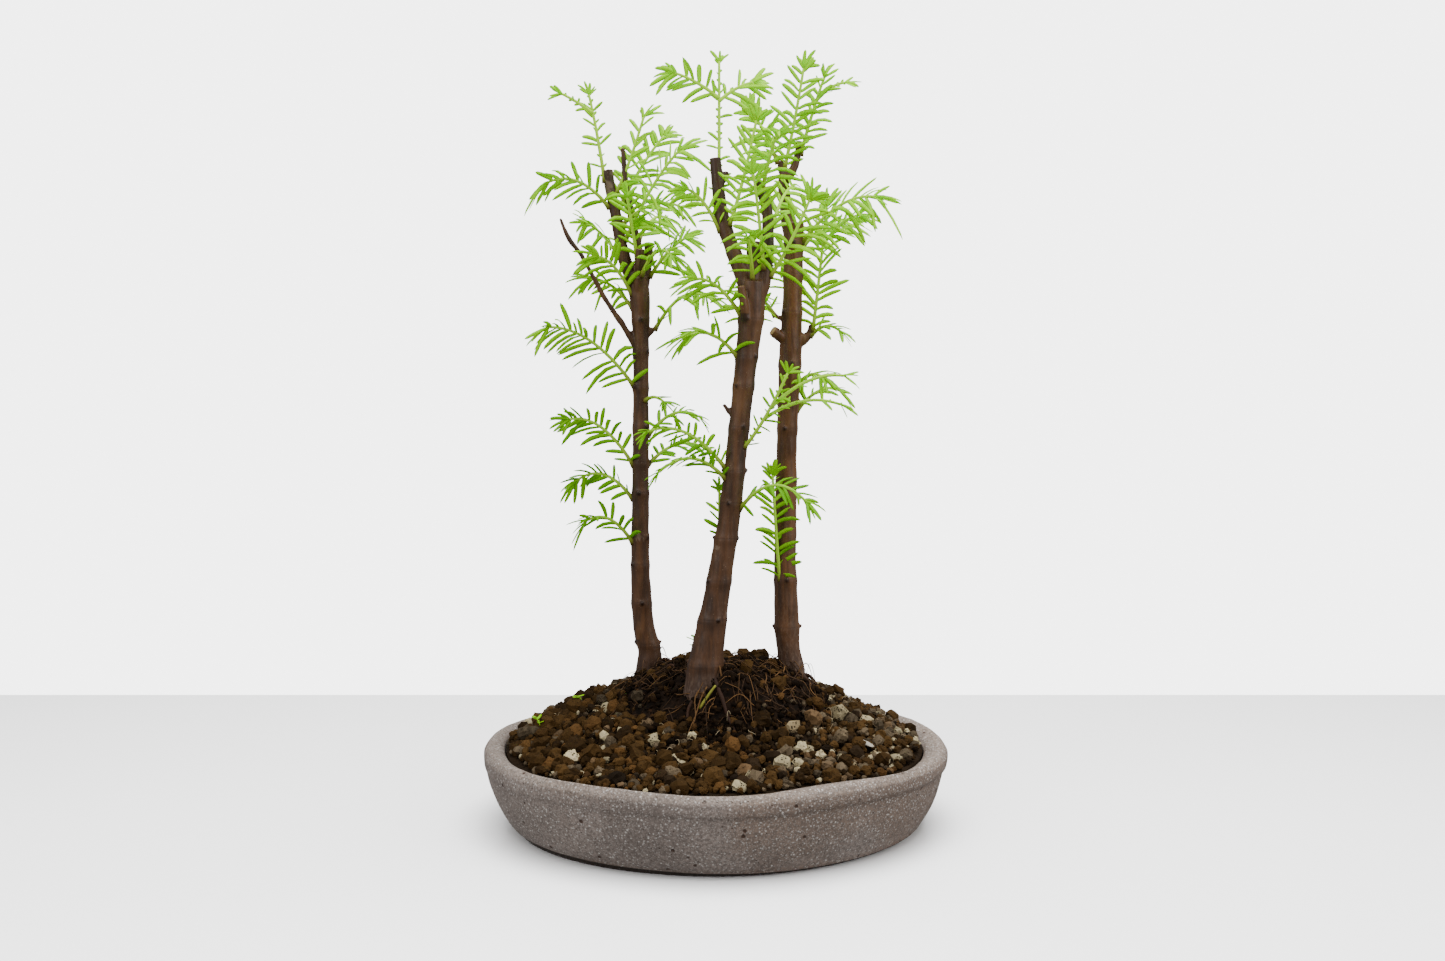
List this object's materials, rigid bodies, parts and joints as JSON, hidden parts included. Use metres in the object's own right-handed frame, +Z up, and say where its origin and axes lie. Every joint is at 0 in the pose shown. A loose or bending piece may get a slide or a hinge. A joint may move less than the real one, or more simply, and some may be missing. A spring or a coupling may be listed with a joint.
{
  "type": "bonsai trees in a pot",
  "caption": "Small group planting of young feathery conifers on bare slender trunks, rooted in a mound of grit in a shallow round-cornered stoneware pot.",
  "frame": {"origin": "on the table, under the middle of the pot's outline", "axes": "+Z up along the trunks, +X along the pot's length to the viewer's right, +Y along the pot's depth away from the viewer"},
  "size_m": [0.28, 0.25, 0.4665],
  "materials": {
    "stoneware": null,
    "drain_mesh": "satin",
    "gravel": null,
    "peat": null,
    "bark": "satin bark",
    "leaf": null
  },
  "bodies": {
    "root": {"drain_screen_left": "drain_mesh", "drain_screen_right": "drain_mesh", "left_shoot_01": "leaf", "left_shoot_02": "leaf", "left_shoot_03": "leaf", "left_shoot_04": "leaf", "left_shoot_05": "leaf", "left_shoot_06": "leaf", "left_shoot_07": "leaf", "left_shoot_08": "leaf", "left_shoot_09": "leaf", "left_shoot_10": "leaf", "left_shoot_11": "leaf", "left_shoot_12": "leaf", "left_shoot_13": "leaf", "left_shoot_14": "leaf", "left_shoot_15": "leaf", "left_shoot_16": "leaf", "left_shoot_17": "leaf", "left_shoot_18": "leaf", "left_shoot_19": "leaf", "left_shoot_20": "leaf", "left_shoot_21": "leaf", "left_trunk": "bark", "middle_shoot_01": "leaf", "middle_shoot_02": "leaf", "middle_shoot_03": "leaf", "middle_shoot_04": "leaf", "middle_shoot_05": "leaf", "middle_shoot_06": "leaf", "middle_shoot_07": "leaf", "middle_shoot_08": "leaf", "middle_shoot_09": "leaf", "middle_shoot_10": "leaf", "middle_shoot_11": "leaf", "middle_shoot_12": "leaf", "middle_shoot_13": "leaf", "middle_shoot_14": "leaf", "middle_shoot_15": "leaf", "middle_shoot_16": "leaf", "middle_trunk": "bark", "pot": "stoneware", "right_shoot_01": "leaf", "right_shoot_02": "leaf", "right_shoot_03": "leaf", "right_shoot_04": "leaf", "right_shoot_05": "leaf", "right_shoot_06": "leaf", "right_shoot_07": "leaf", "right_shoot_08": "leaf", "right_shoot_09": "leaf", "right_shoot_10": "leaf", "right_shoot_11": "leaf", "right_shoot_12": "leaf", "right_trunk": "bark", "root_ball": "peat", "seedling_1": "leaf", "seedling_2": "leaf", "seedling_3": "leaf", "soil_bed": "gravel"}
  },
  "joints": []
}
